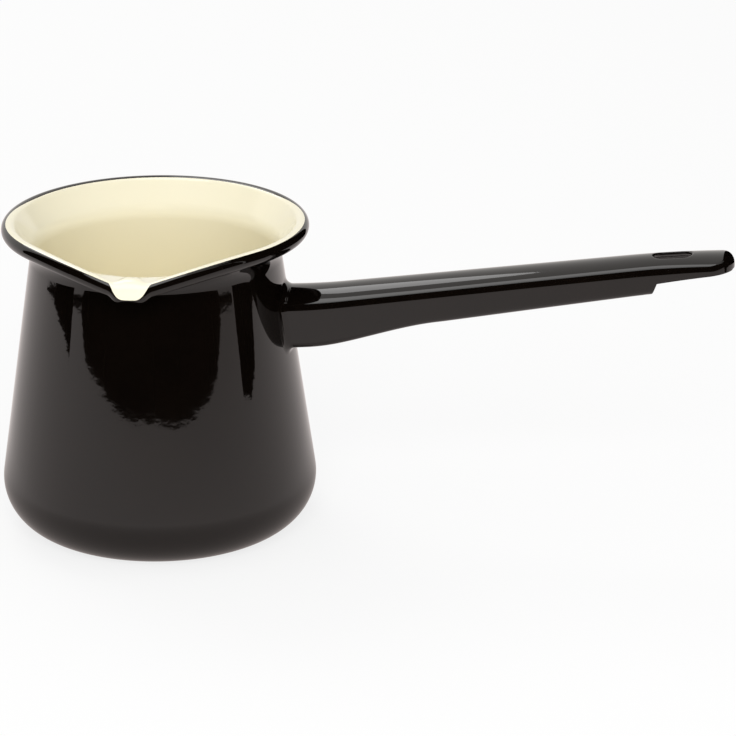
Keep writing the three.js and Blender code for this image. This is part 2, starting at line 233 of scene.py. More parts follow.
def corner_point(angle):
    """Radius, height and outward direction of a point of the sheet's middle surface."""
    facing = (math.cos(angle), math.sin(angle))
    return (
        corner_centre[0] + corner_radius * facing[0],
        corner_centre[1] + corner_radius * facing[1],
        *facing,
    )


def wall_radius(z, outside):
    """Radius of the leaning wall at a height, outside the sheet's middle surface."""
    reach = corner_centre[0] * math.cos(wall_lean) + corner_centre[1] * math.sin(wall_lean)
    return (reach + corner_radius + outside - z * math.sin(wall_lean)) / math.cos(wall_lean)


# %% [markdown]
# ## The section above the wall
# The neck's bend touches the leaning wall, and a straight flare touches both the bend and the roll. The
# turn at which the flare leaves the bend is the direction of the two arcs' common tangent. The seam,
# where the cream ends and the black edging starts, lies on the roll.


# %% Bend, flare and roll
def rim_arcs(rim):
    roll_radius = rim["roll_radius"] - coat_face
    roll_centre = (rim["reach"] - rim["roll_radius"], rim["crest"] - rim["roll_radius"])
    bend_radius = rim["bend_radius"]
    bend_centre = (plain_centre[0] + (bend_radius - plain_bend) / math.cos(wall_lean), neck_height)
    across = roll_centre[0] - bend_centre[0]
    rise = roll_centre[1] - bend_centre[1]
    tangent = math.acos((roll_radius - bend_radius) / math.hypot(across, rise))
    return {
        "bend": (bend_centre, bend_radius),
        "roll": (roll_centre, roll_radius),
        "flare_turn": tangent - math.atan2(rise, across),
        "seam_turn": rim["roll_turn"] - rim["edging"] / roll_radius,
        "end_turn": rim["roll_turn"],
    }


def arc_points(arc, first_turn, last_turn, steps):
    """Points of an arc that turns outward from upright, without the last one."""
    (centre_r, centre_z), radius = arc
    points = []
    for i in range(steps):
        turn = mix(first_turn, last_turn, i / steps)
        facing = (math.cos(turn), -math.sin(turn))
        points.append((centre_r - radius * facing[0], centre_z - radius * facing[1], *facing))
    return points


# %% [markdown]
# ## One section of the sheet
# A section runs from the middle of the base to the end of the roll. Every section has the same number of
# points in every stretch, so that neighbours can be joined face by face although the rim changes.

# %% Sheet path
base_steps = 6
corner_steps = 28
wall_steps = 24
bend_steps = 16
flare_steps = 4
cream_roll_steps = 20
roll_steps = 26


def straight_points(first, last, steps):
    """Points between two others, without the first and the last."""
    first, last = np.array(first), np.array(last)
    return [tuple(mix(first, last, i / steps)) for i in range(1, steps)]


def sheet_path(angle):
    """The sheet's middle surface from the base's centre to the end of the roll."""
    arcs = rim_arcs(rim_at(angle))
    path = [(corner_centre[0] * i / base_steps, coat_face, 0.0, -1.0) for i in range(base_steps)]
    path += [corner_point(mix(-math.pi / 2, wall_lean, i / corner_steps)) for i in range(corner_steps + 1)]
    bend = arc_points(arcs["bend"], -wall_lean, arcs["flare_turn"], bend_steps)
    bend += arc_points(arcs["bend"], arcs["flare_turn"], arcs["end_turn"], 1)
    cream_roll = arc_points(arcs["roll"], arcs["flare_turn"], arcs["seam_turn"], cream_roll_steps)
    black_roll = arc_points(arcs["roll"], arcs["seam_turn"], arcs["end_turn"], roll_steps)
    end = arc_points(arcs["roll"], arcs["end_turn"], arcs["end_turn"], 1)
    path += straight_points(path[-1], bend[0], wall_steps)
    path += bend
    path += straight_points(bend[-1], cream_roll[0], flare_steps)
    path += cream_roll
    path += black_roll
    path += end
    return np.array(path)


seam_index = len(sheet_path(0.0)) - 1 - roll_steps
print("A section has", len(sheet_path(0.0)), "points, with the seam at", seam_index)

# %% [markdown]
# ## Round the pot
# A Screw modifier turns one outline into a round pot, but this outline changes on the way round. So the
# sections are placed one by one. They stand close together at the lip, where the rim changes most, and
# further apart at the back.

# %% Angles
lip_sections = 44
flank_sections = 44
back_sections = 64
lip_zone_share = 1.25
lip_zone = lip_mouth_angle * lip_zone_share


def angles_from_lip():
    half = list(np.linspace(0, lip_zone, lip_sections, endpoint=False))
    half += list(np.linspace(lip_zone, flank_spread, flank_sections, endpoint=False))
    half += list(np.linspace(flank_spread, math.pi, back_sections))
    return half + [-angle for angle in half[-2:0:-1]]


pot_angles = angles_from_lip()
pot_paths = [sheet_path(angle) for angle in pot_angles]
print("Sections round the pot:", len(pot_paths))


def offset(path, outside, onward=0.0):
    """Section points at a distance outside the middle surface and onward along it."""
    r = path[..., 0] + outside * path[..., 2] - onward * path[..., 3]
    z = path[..., 1] + outside * path[..., 3] + onward * path[..., 2]
    return np.stack([np.maximum(r, 0), z], axis=-1)


def round_the_pot(name, section_of):
    rings = []
    for angle, path in zip(pot_angles, pot_paths):
        section = section_of(path)
        turn = angle - math.pi / 2
        r, z = section[:, 0], section[:, 1]
        rings.append(np.stack([r * math.cos(turn), r * math.sin(turn), z], axis=-1))
    rings = np.array(rings)
    rows, columns = rings.shape[:2]
    return make_piece(name, rings.reshape(-1, 3), grid_faces(rows, columns, True, True))


# %% [markdown]
# ## Coats of the pot
# Each coat is a thin closed skin that follows the sheet: the black one outside, the cream one inside up
# to the seam on the roll, and the black edging that goes on round the raw edge of the sheet. A Solidify
# modifier could thicken one surface, but the coats start and end at different places, so each has its own
# section.

# %% Coats of the pot
wrap_steps = 8
wrap_bulge = 0.3


def outer_section(path):
    return np.concatenate([offset(path, coat_face), offset(path, coat_back)[::-1]])


def lining_section(path):
    inside = path[: seam_index + 1]
    return np.concatenate([offset(inside, -coat_back), offset(inside, -coat_face)[::-1]])


def edging_section(path):
    rolled = path[seam_index:]
    wrap = []
    for i in range(1, wrap_steps):
        turn = mix(-math.pi / 2, math.pi / 2, i / wrap_steps)
        wrap.append(offset(path[-1], coat_face * math.sin(turn), wrap_bulge * math.cos(turn)))
    face = offset(rolled, -coat_face)
    back = offset(rolled, -coat_back)
    end = offset(path[-1:], coat_face)
    return np.concatenate([face, np.array(wrap), end, back[::-1]])


black_coat = round_the_pot("black_coat", outer_section)
cream_lining = round_the_pot("cream_lining", lining_section)
black_edging = round_the_pot("black_edging", edging_section)

# %% [markdown]
# ## The handle's section
# The handle is a strip folded into a channel: a crowned top, round shoulders, straight sides, and edges
# folded under that leave an open seam. Near the end the folded edges are cut away and only shallow sides
# are left. A bar with bevelled edges would look alike from above only. So one half of the section is a
# path from the middle of the top to the cut edge, and where it is cut decides how much of the fold is
# there. Depths are measured down from the top line, which rises along the handle, lifts a little at the
# root and droops at the tip.

# %% Handle sizes
handle_reach = 168.7
handle_drop = 25.5
handle_top_at_axis = pot_height - handle_drop
handle_slope = math.radians(7.31)
handle_rise = math.tan(handle_slope)
root_width, tip_width = 18.0, 14.4
root_depth, shaft_depth, fold_end_depth = 16.2, 11.93, 9.4
tip_depth, tip_end_depth = 6.1, 3.9
tip_edge_radius = 3.4
droop_length, tip_droop = 30.7, 1.4
sweep_start, sweep_length = 6.0, 46.0
open_tip_length = 21.9
fold_end_slope = 1.8
fold_taper = 3.0
crown_radius, crown_share = 13.0, 0.76
shoulder_radius, shoulder_share = 3.0, 0.5
root_form_length = 17.0
root_lift = 0.8
fold_radius, fold_share = 2.0, 0.2
seam_width = 3.0
handle_face = 0.27
handle_inside = -0.95

root_x = wall_radius(handle_top_at_axis, half_steel)
fold_end = handle_reach - open_tip_length
print("The handle runs from", round(root_x, 2), "to", handle_reach, "mm from the axis")

# %% [markdown]
# ## How the handle changes along its length
# The strip's width tapers evenly. Its sides sweep up in an S near the pot, so that the weld has a deep
# root and the rest of the handle is slim. Loops placed by hand would do, but these rules give the width
# and the depths at any place, so the mesh can be as fine as the gloss needs.


# %% Top line, width and depths
def top_line(x):
    along = max(0.0, (x - handle_reach) / droop_length + 1)
    near = 1 - clamp((x - root_x) / root_form_length)
    return x * handle_rise - tip_droop * along * along + root_lift * near * near


def shaft_width(x):
    return mix(root_width, tip_width, clamp((x - root_x) / (fold_end - root_x)))


def fold_depth(x):
    out = x - root_x
    straight = clamp((out - sweep_length) / (fold_end - root_x - sweep_length))
    sweep = smooth(clamp((out - sweep_start) / (sweep_length - sweep_start)))
    return mix(root_depth, mix(shaft_depth, fold_end_depth, straight), sweep)


def open_depth(x):
    return mix(tip_depth, tip_end_depth, clamp((x - fold_end) / open_tip_length))


def side_depth(x):
    return mix(fold_depth(x), open_depth(x), clamp((x - fold_end + fold_end_slope) / fold_end_slope))


print("Depth at the root and at the fold's end:", fold_depth(root_x), fold_depth(fold_end))

# %% [markdown]
# ## Half of the handle's section
# A folded strip keeps its length however it is bent, so a point of the section is best named by how far
# along the strip it lies. Each half is five stretches that touch: the crown, the shoulder, the straight
# side, the fold and the flat underneath. The other half is its mirror image. At the round end the same
# rule makes the stretches shrink together, so that the mesh keeps its rows.

# %% Half of a section
crown_steps = 14
shoulder_steps = 12
side_steps = 8
fold_steps = 10
bottom_steps = 4


def end_rounding(x, grow):
    """How much the round end narrows the handle and lowers its top."""
    plan_radius = tip_width / 2 + grow
    edge = tip_edge_radius + grow
    end = handle_reach + grow
    in_plan = clamp((x - end + plan_radius) / plan_radius)
    in_height = clamp((x - end + edge) / edge)
    return math.sqrt(1 - in_plan**2), edge * (1 - math.sqrt(1 - in_height**2))


class HalfSection:
    """The path from the crown's middle over the shoulder, down the side and under the fold."""

    def __init__(self, x, grow, seam):
        narrowing, drop = end_rounding(x, grow)
        self.half = (shaft_width(x) / 2 + grow) * narrowing
        self.top = grow - drop
        height = self.top + side_depth(x) + grow
        self.shoulder = min(shoulder_radius + grow, self.half * shoulder_share, height * shoulder_share)
        self.bottom = -fold_depth(x) - grow
        full_height = self.top - self.bottom
        self.fold = min(fold_radius + grow, self.half * shoulder_share, full_height * fold_share)
        self.chord = self.half - self.shoulder
        room = height * crown_share - self.shoulder
        reach = max(crown_radius + grow - self.shoulder, (self.chord**2 + room**2) / (2 * room))
        self.crown = self.shoulder + reach
        self.crown_turn = math.asin(self.chord / reach)
        self.shoulder_height = self.top - self.crown + reach * math.cos(self.crown_turn)
        self.arch = self.crown * self.crown_turn
        self.bend = self.shoulder * (math.pi / 2 - self.crown_turn)
        self.side = self.shoulder_height - self.bottom - self.fold
        self.curl = self.fold * math.pi / 2
        self.under = max(0.0, self.half - self.fold - seam / 2)
        self.open_side = max(0.0, self.shoulder_height + open_depth(x))
        self.x = x

    def cut(self):
        """Length of path that is left below the shoulder."""
        taper = clamp((self.x - fold_end + fold_end_slope + fold_taper) / fold_taper)
        slope = clamp((self.x - fold_end + fold_end_slope) / fold_end_slope)
        return mix(self.side + self.curl, self.open_side, slope) + self.under * (1 - taper)

    def at(self, along):
        """Distance from the middle plane and height above the top line, along the path."""
        if along <= self.arch:
            turn = along / self.crown
            return self.crown * math.sin(turn), self.top - self.crown * (1 - math.cos(turn))
        along -= self.arch
        if along <= self.bend:
            turn = self.crown_turn + (along / self.shoulder if self.shoulder else 0.0)
            return (
                self.chord + self.shoulder * math.sin(turn),
                self.shoulder_height + self.shoulder * math.cos(turn),
            )
        along -= self.bend
        if along <= self.side:
            return self.half, self.shoulder_height - along
        along -= self.side
        if along <= self.curl:
            turn = along / self.fold
            return (
                self.half - self.fold * (1 - math.cos(turn)),
                self.bottom + self.fold * (1 - math.sin(turn)),
            )
        return self.half - self.fold - (along - self.curl), self.bottom

    def lengths(self):
        """Path lengths of the section's points, from the middle of the top to the cut edge."""
        points = [self.arch * i / crown_steps for i in range(crown_steps)]
        points += [self.arch + self.bend * i / shoulder_steps for i in range(shoulder_steps)]
        below = [self.side * i / side_steps for i in range(side_steps)]
        below += [self.side + self.curl * i / fold_steps for i in range(fold_steps)]
        below += [self.side + self.curl + self.under * i / bottom_steps for i in range(bottom_steps + 1)]
        share = self.cut() / below[-1]
        return points + [self.arch + self.bend + length * share for length in below]


print("Half a section has", len(HalfSection(root_x, handle_face, seam_width).lengths()), "points")

# %% [markdown]
# ## Along the handle
# At the root the sections follow the round, leaning wall, and further out they stand upright. The
# stations crowd together where the folds are cut off and at the round end.

# %% Stations
wall_passes = 3
shaft_stations = 64
cut_stations = 26
open_stations = 34
end_stations = 22
root_gap = 0.3


def stations(grow):
    """Distances from the wall, the same number for every skin."""
    cut_start = fold_end - fold_end_slope - fold_taper - root_x
    cut_end = fold_end - root_x
    round_start = handle_reach - tip_width / 2 - root_x
    end = handle_reach + grow - root_x
    places = list(np.linspace(root_gap, cut_start, shaft_stations, endpoint=False))
    places += list(np.linspace(cut_start, cut_end, cut_stations, endpoint=False))
    places += list(np.linspace(cut_end, round_start, open_stations, endpoint=False))
    for turn in np.linspace(0, math.pi / 2, end_stations):
        places.append(mix(round_start, end, math.sin(turn)))
    return places


def place(distance, y, height):
    """A section point set off from the wall."""
    follow = 1 - smooth(clamp(distance / sweep_length))
    x = root_x
    for _ in range(wall_passes):
        radius = wall_radius(handle_top_at_axis + top_line(x) + height, half_steel)
        x = math.sqrt(radius * radius - y * y)
    placed = mix(root_x, x, follow) + distance
    return (placed, y, handle_top_at_axis + top_line(placed) + height)


print("Stations along the handle:", len(stations(handle_face)))

# %% [markdown]
# ## The folded sheet
# Every station is one closed loop: over the outside from one cut edge to the other, round that edge, back
# along the inside, and round the first edge. Enamel draws back from a sharp edge when it melts, so the
# cut edges are rounded.

# %% Handle sheet
edge_steps = 5
edge_bulge = 0.3


def half_points(distance, grow):
    section = HalfSection(root_x + distance, grow, seam_width)
    return [section.at(length) for length in section.lengths()]


def rounded_edge(face, inside, onward):
    """Points between the two faces of the sheet at a cut edge."""
    points = []
    for i in range(1, edge_steps):
        turn = math.pi * i / edge_steps
        middle = mix(np.array(face), np.array(inside), (1 - math.cos(turn)) / 2)
        points.append(tuple(middle + onward * edge_bulge * math.sin(turn)))
    return points


def sheet_loop(distance_out, distance_in):
    face = half_points(distance_out, handle_face)
    inside = half_points(distance_in, handle_inside)
    onward = np.array(face[-1]) - np.array(face[-3])
    length = np.linalg.norm(onward)
    onward = onward / length if length > 0 else onward
    edge = rounded_edge(face[-1], inside[-1], onward)
    loop = [(distance_out, -y, h) for y, h in face[:0:-1]]
    loop += [(distance_out, y, h) for y, h in face]
    loop += [(distance_out, y, h) for y, h in edge]
    loop += [(distance_in, y, h) for y, h in inside[::-1]]
    loop += [(distance_in, -y, h) for y, h in inside[1:]]
    loop += [(distance_out, -y, h) for y, h in edge[::-1]]
    return loop


outer_places = stations(handle_face)
inner_places = stations(handle_inside)
loops = [sheet_loop(out, inn) for out, inn in zip(outer_places, inner_places)]
half_count = len(half_points(outer_places[0], handle_face)) - 1
loop_count = len(loops[0])
sheet_points = [place(*point) for loop in loops for point in loop]
sheet_faces = grid_faces(len(loops), loop_count, False, True)
print("Handle loops:", len(loops), "of", loop_count, "points")

# %% [markdown]
# ## The hanging slot
# The slot is punched through the tip, and its edge is drawn in a little by the punch and rounded by the
# enamel. A boolean cut would leave long thin faces that spoil the gloss. Instead a block of faces is left
# out, and rings of faces run from the block's border to the slot, over its rounded edge and back inside.

# %% Hanging slot
slot_length, slot_width = 11.2, 5.6
slot_from_end = 17.7
slot_x = handle_reach - slot_from_end
slot_straight = (slot_length - slot_width) / 2


def slot_border(x, y, grow):
    """Where a ray from the slot's middle meets the slot's outline, grown by a distance."""
    radius = slot_width / 2 + grow
    length = math.hypot(x, y)
    ray_x, ray_y = abs(x) / length, abs(y) / length
    reach = radius / ray_y if ray_y > 0 else math.inf
    if ray_x * reach > slot_straight:
        inside = radius**2 - (slot_straight * ray_y) ** 2
        reach = slot_straight * ray_x + math.sqrt(inside)
    return reach * x / length, reach * y / length


def top_surface(x, y, grow):
    """Height of the handle's top, or of its underside, above the top line."""
    section = HalfSection(x, grow, seam_width)
    return section.top - section.crown + math.sqrt(section.crown**2 - y * y)


print("The slot lies", slot_from_end, "mm from the end")

# %% [markdown]
# ## The block round the slot
# The block is as wide as the crown and a little longer than the slot. A loop of the sheet runs over the
# outside and back along the inside, so each face of the block has its own columns, counted from the
# middle.

# %% Block round the slot
slot_margin = 2.4
slot_zone = slot_length / 2 + slot_margin
block_columns = crown_steps


def outer_column(j):
    return half_count + j


def inner_column(j):
    return 3 * half_count + edge_steps - j


near_rows = [i for i, out in enumerate(outer_places) if abs(root_x + out - slot_x) < slot_zone]
first_row, last_row = near_rows[0], near_rows[-1]
border = [(first_row, j) for j in range(-block_columns, block_columns)]
border += [(i, block_columns) for i in range(first_row, last_row)]
border += [(last_row, j) for j in range(block_columns, -block_columns, -1)]
border += [(i, -block_columns) for i in range(last_row, first_row, -1)]


def in_block(face):
    rows = [index // loop_count for index in face]
    columns = [index % loop_count for index in face]
    if min(rows) < first_row or max(rows) > last_row:
        return False
    spans = ((outer_column(-block_columns), outer_column(block_columns)),
             (inner_column(block_columns), inner_column(-block_columns)))
    return any(low <= min(columns) and max(columns) <= high for low, high in spans)


faces_before = len(sheet_faces)
sheet_faces = [face for face in sheet_faces if not in_block(face)]
print("Faces left out:", faces_before - len(sheet_faces))

# %% [markdown]
# ## Rings round the slot
# A ring slides from the block's border to the slot's outline in even steps, on the curve of the top. The
# last rings turn down over the rounded edge. The same rings, taken backwards, close the hole from the
# inside.

# %% Slot rings
slot_edge_radius = 0.52
slot_ring_steps = 6
slot_edge_steps = 5


def slot_rings(columns, grow, down):
    """Rings of points from the block's border to the slot, then over its rounded edge."""
    rings = []
    outline = [sheet_points[i * loop_count + columns(j)] for i, j in border]
    for step in range(1, slot_ring_steps + slot_edge_steps + 1):
        ring = []
        for x, y, _ in outline:
            if step <= slot_ring_steps:
                edge_x, edge_y = slot_border(x - slot_x, y, slot_edge_radius)
                share = step / slot_ring_steps
                at_x, at_y = mix(x, slot_x + edge_x, share), mix(y, edge_y, share)
                sunk = 0.0
            else:
                turn = (step - slot_ring_steps) / slot_edge_steps * math.pi / 2
                edge_x, edge_y = slot_border(x - slot_x, y, slot_edge_radius * (1 - math.sin(turn)))
                at_x, at_y = slot_x + edge_x, edge_y
                sunk = down * slot_edge_radius * (1 - math.cos(turn))
            height = top_surface(at_x, at_y, grow) - sunk
            ring.append((at_x, at_y, handle_top_at_axis + top_line(at_x) + height))
        rings.append(ring)
    return rings


slot_levels = [[i * loop_count + outer_column(j) for i, j in border]]
for ring in slot_rings(outer_column, handle_face, 1) + slot_rings(inner_column, handle_inside, -1)[::-1]:
    slot_levels.append(list(range(len(sheet_points), len(sheet_points) + len(ring))))
    sheet_points += ring
slot_levels.append([i * loop_count + inner_column(j) for i, j in border])
for upper, lower in zip(slot_levels, slot_levels[1:]):
    for k in range(len(border)):
        m = (k + 1) % len(border)
        sheet_faces.append((upper[k], lower[k], lower[m], upper[m]))
print("The slot has", len(slot_levels), "rings of", len(border), "points")

# %% [markdown]
# ## Closing the handle
# At the root the strip is cut to the wall's curve and set against it. One row of faces joins the outside
# to the inside there, so that the handle is a closed skin with a real thickness. Filling the end with one
# large face would be quicker, but it would also close the hollow.

# %% Handle piece
facing = 4 * half_count + edge_steps
for k in range(2 * half_count):
    sheet_faces.append((k, k + 1, facing - k - 1, facing - k))
black_handle = make_piece("black_handle", sheet_points, sheet_faces)

# %% [markdown]
# ## The weld
# The handle's root is welded to the wall all round, and the enamel fills the corner with a smooth hollow
# curve. Joining the two meshes and bevelling the corner would spoil the even grids on both sides. The
# weld is a ring of its own instead. Its section is tangent to the handle at one end and to the wall at
# the other, so that reflections run on across it, and both ends are tucked in a little so that no gap
# shows.

# %% Weld fillet
weld_leg = 2.1
weld_steps = 10
weld_tuck = 0.15


def weld_ring(distance, grow):
    section = HalfSection(root_x + distance, grow, seam=0.0)
    half = [section.at(length) for length in section.lengths()]
    ring = [(distance, y, h) for y, h in half] + [(distance, -y, h) for y, h in half[-2:0:-1]]
    return [place(*point) for point in ring]


weld_profile = [(weld_leg + weld_tuck, handle_face - weld_tuck)]
for step in range(weld_steps + 1):
    turn = math.pi / 2 * step / weld_steps
    weld_profile.append((
        mix(weld_leg, handle_face, math.sin(turn)),
        mix(weld_leg + handle_face, handle_face, math.cos(turn)),
    ))
weld_profile.append((handle_face - weld_tuck, weld_leg + handle_face + weld_tuck))
weld_profile.append((handle_face - weld_tuck, handle_face - weld_tuck))
weld_rings = [weld_ring(distance, grow) for distance, grow in weld_profile]
weld_points = [point for ring in weld_rings for point in ring]
weld_faces = grid_faces(len(weld_rings), len(weld_rings[0]), True, True)
weld_bead = make_piece("weld_bead", weld_points, weld_faces)

# %% [markdown]
# ## Writing shaders as sums
# A node tree is easier to read as arithmetic. `Signal` wraps the output of a node, so that `1 - mask` or
# `a * b` adds the Math node for it. Every other node comes from one method of `Nodes`, which sets the
# node's own settings first and then its sockets. A Mix node has sockets for numbers, vectors and colours,
# and those for colours are found by their place.


# %% Node helpers
class Signal:
    """The output of a node, which can be used in arithmetic."""

    def __init__(self, nodes, socket):
        self.nodes = nodes
        self.socket = socket

    def math(self, operation, first, second):
        return self.nodes.add("ShaderNodeMath", {"operation": operation}, {0: first, 1: second})

    def __add__(self, other):
        return self.math("ADD", self, other)

    def __sub__(self, other):
        return self.math("SUBTRACT", self, other)

    def __rsub__(self, other):
        return self.math("SUBTRACT", other, self)

    def __mul__(self, other):
        return self.math("MULTIPLY", self, other)

    __radd__ = __add__
    __rmul__ = __mul__


MIX_FACTOR, MIX_FIRST, MIX_SECOND, MIX_RESULT = 0, 6, 7, 2


class Nodes:
    """The node tree of a material or of the world."""

    def __init__(self, owner):
        owner.use_nodes = True
        self.tree = owner.node_tree

    def add(self, kind, settings, sockets, output=0):
        node = self.tree.nodes.new(kind)
        for name, value in settings.items():
            setattr(node, name, value)
        for key, value in sockets.items():
            self.set(node.inputs[key], value)
        return Signal(self, node.outputs[output])

    def set(self, socket, value):
        if isinstance(value, Signal):
            self.tree.links.new(value.socket, socket)
        else:
            socket.default_value = value

    def mix_colours(self, factor, first, second):
        sockets = {MIX_FACTOR: factor, MIX_FIRST: first, MIX_SECOND: second}
        return self.add("ShaderNodeMix", {"data_type": "RGBA"}, sockets, MIX_RESULT)

    def noise(self, place, size, detail=2.0):
        """Noise from 0 to 1 whose blotches are about a size in metres across."""
        sockets = {"Vector": place, "Scale": 1 / size, "Detail": detail}
        return self.add("ShaderNodeTexNoise", {}, sockets)

    def bump(self, height):
        """A normal from a height in metres."""
        return self.add("ShaderNodeBump", {}, {"Strength": 1.0, "Distance": 1.0, "Height": height})

    def ramp(self, value, low, high, interpolation="LINEAR"):
        """0 below a low value, 1 above a high one and even between them."""
        sockets = {"Value": value, "From Min": low, "From Max": high}
        return self.add("ShaderNodeMapRange", {"interpolation_type": interpolation}, sockets)


# %% [markdown]
# ## A plain material
# What is the same all over a surface, such as how strongly glass bends light, is set on the shader's own
# socket. An exported model keeps it there and loses it behind other nodes. Only what varies is linked
# afterwards.


# %% Material helpers
def principled(name, sockets):
    """A material, its nodes and its shader, with the sockets that are the same all over."""
    material = bpy.data.materials.new(name)
    nodes = Nodes(material)
    shader = nodes.tree.nodes["Principled BSDF"]
    for key, value in sockets.items():
        nodes.set(shader.inputs[key], value)
    return material, nodes, shader


def between(noise, low, high):
    return low + noise * (high - low)


# %% [markdown]
# ## Black enamel
# Fired enamel is glass: a dark body under a mirror-smooth face that reflects about a twenty-fifth of what
# stands opposite and nearly all of it at a grazing angle. Its face is never quite flat. Slow waves from
# the dipping bend reflections, a fine orange peel breaks up their edges, and tiny pits dull it a little.
# All three are far too low to model, so they are bump. Heights and sizes are in metres here: the pot's
# waves, at 1.2e-5, are twelve thousandths of a millimetre high.

# %% Black enamel
glass_ior = 1.52
black_dark = (0.0014, 0.0009, 0.0007, 1)
black_warm = (0.0042, 0.0027, 0.0018, 1)
black_glossiest, black_dullest = 0.018, 0.034
black_peel_size = 0.003
cloud_size, cloud_detail = 0.022, 4.0
pit_size, pit_detail = 0.0006, 3.0
pit_height = 5e-8
pit_dulling = 0.01


def black_enamel(name, wave_height, wave_size, peel_height):
    material, nodes, shader = principled(name, {"IOR": glass_ior})
    place_on = nodes.add("ShaderNodeTexCoord", {}, {}, "Object")
    waves = nodes.noise(place_on, wave_size)
    peel = nodes.noise(place_on, black_peel_size)
    cloud = nodes.noise(place_on, cloud_size, cloud_detail)
    pits = nodes.noise(place_on, pit_size, pit_detail)
    height = waves * wave_height + peel * peel_height + pits * pit_height
    roughness = between(cloud, black_glossiest, black_dullest) + pits * pit_dulling
    nodes.set(shader.inputs["Base Color"], nodes.mix_colours(cloud, black_dark, black_warm))
    nodes.set(shader.inputs["Roughness"], roughness)
    nodes.set(shader.inputs["Normal"], nodes.bump(height))
    return material


pot_black = black_enamel("pot_black", wave_height=1.2e-5, wave_size=0.010, peel_height=7e-6)
edging_black = black_enamel("edging_black", wave_height=1.5e-6, wave_size=0.006, peel_height=4e-6)
handle_black = black_enamel("handle_black", wave_height=3.0e-6, wave_size=0.009, peel_height=4e-6)
print("Black finishes:", pot_black.name, edging_black.name, handle_black.name)

# %% [markdown]
# ## Cream enamel
# The lining is a paler glass with a white pigment in it. Its colour is whiter on the flare and yellower
# lower in the pot. The yellower colour is painted shade: it stands in for the shade and warm bounced light
# deep in the pot. One plain colour would look like plastic, and a painted picture would need a map of the
# surface. A ramp over the height, which paints that shade, and a faint drift of tone need neither.

# %% Cream enamel
cream_white = (0.94, 0.89, 0.70, 1)
# The second cream is painted shade: the deeper yellow that the lining is given low in the pot.
cream_shaded = (0.905, 0.82, 0.54, 1)
cream_shaded_at, cream_white_at = 0.045, 0.088
painted_shade_share, drift_share = 0.8, 0.2
drift_size, drift_detail = 0.03, 3.0
cream_peel_size, cream_peel_height = 0.002, 6e-7
cream_wave_size, cream_wave_height = 0.01, 3e-6
cream_glossiest, cream_dullest = 0.09, 0.17


def cream_enamel(name):
    material, nodes, shader = principled(name, {"IOR": glass_ior})
    place_on = nodes.add("ShaderNodeTexCoord", {}, {}, "Object")
    drift = nodes.noise(place_on, drift_size, drift_detail)
    height_on = nodes.add("ShaderNodeSeparateXYZ", {}, {0: place_on}, "Z")
    # The height ramp paints shade: the cream turns deeper and yellower lower in the pot, while the drift
    # is random tone.
    whiteness = nodes.ramp(height_on, cream_shaded_at, cream_white_at)
    shade_and_drift = (1 - whiteness) * painted_shade_share + drift * drift_share
    peel = nodes.noise(place_on, cream_peel_size)
    waves = nodes.noise(place_on, cream_wave_size)
    height = waves * cream_wave_height + peel * cream_peel_height
    nodes.set(shader.inputs["Base Color"], nodes.mix_colours(shade_and_drift, cream_white, cream_shaded))
    nodes.set(shader.inputs["Roughness"], between(drift, cream_glossiest, cream_dullest))
    nodes.set(shader.inputs["Normal"], nodes.bump(height))
    return material


lining_cream = cream_enamel("lining_cream")
print("Cream finish:", lining_cream.name)

# %% [markdown]
# ## Dressing the frame
# Every skin gets its finish and says which solids of the frame it stands for. Nothing on this pot moves,
# so all of them ride on the one body.

# %% Dress the pieces
dressing = (
    (black_coat, pot_black, "black_enamel", ("outer_enamel", "body_shell")),
    (cream_lining, lining_cream, "cream_enamel", ("inner_enamel",)),
    (black_edging, edging_black, "black_enamel", ("rim_edging",)),
    (black_handle, handle_black, "black_enamel", ("handle_enamel", "handle_shell")),
    (weld_bead, handle_black, "black_enamel", ("root_weld",)),
)
for piece, material, slot, nodes_replaced in dressing:
    piece.data.materials.append(material)
    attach(piece, "root")
    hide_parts(*nodes_replaced)
    print(piece.name, "stands for", ", ".join(nodes_replaced))

# %% [markdown]
# ## The studio
# Gloss black shows little but what it reflects, so the room matters more than the lamps. The pot stands
# on a pale floor in a white room. The floor lies a hair below the base, so that the two don't share a
# plane.


# %% Floor
def stage_mesh(name, points, faces):
    """A part of the studio, from points in millimetres."""
    mesh = bpy.data.meshes.new(name)
    mesh.from_pydata([tuple(Vector(point) * MM) for point in points], [], faces)
    thing = bpy.data.objects.new(name, mesh)
    bpy.context.scene.collection.objects.link(thing)
    return thing


def in_room(right, back, height):
    return to_right * right + to_back * back + up * height


floor_half = 6000.0
floor_drop = 0.05
floor_corners = [(-floor_half, -floor_half), (floor_half, -floor_half),
                 (floor_half, floor_half), (-floor_half, floor_half)]
floor = stage_mesh("floor", [(x, y, -floor_drop) for x, y in floor_corners], [(0, 1, 2, 3)])
print("The floor is", 2 * floor_half, "mm wide")

# %% [markdown]
# ## The floor's finish
# The floor is a plain matte white. Making it white with more lamps would burn out the cream lining, so a
# share of plain glow lifts it for the camera and still lets the shadow through.

# %% Floor finish
floor_pale, floor_paler = (0.93, 0.93, 0.925, 1), (0.95, 0.95, 0.945, 1)
floor_cloud_size = 0.4
plain_white = (1, 1, 1, 1)
camera_glow, gloss_glow = 0.8, 0.9
floor_white = bpy.data.materials.new("floor_white")
floor_nodes = Nodes(floor_white)
floor_place = floor_nodes.add("ShaderNodeTexCoord", {}, {}, "Object")
floor_cloud = floor_nodes.noise(floor_place, floor_cloud_size)
floor_colour = floor_nodes.mix_colours(floor_cloud, floor_pale, floor_paler)
floor_matte = floor_nodes.add("ShaderNodeBsdfDiffuse", {}, {"Color": floor_colour})
to_camera = floor_nodes.add("ShaderNodeLightPath", {}, {}, "Is Camera Ray")
to_gloss = floor_nodes.add("ShaderNodeLightPath", {}, {}, "Is Glossy Ray")
print("The floor glows by", camera_glow, "for the camera and by", gloss_glow, "in gloss")

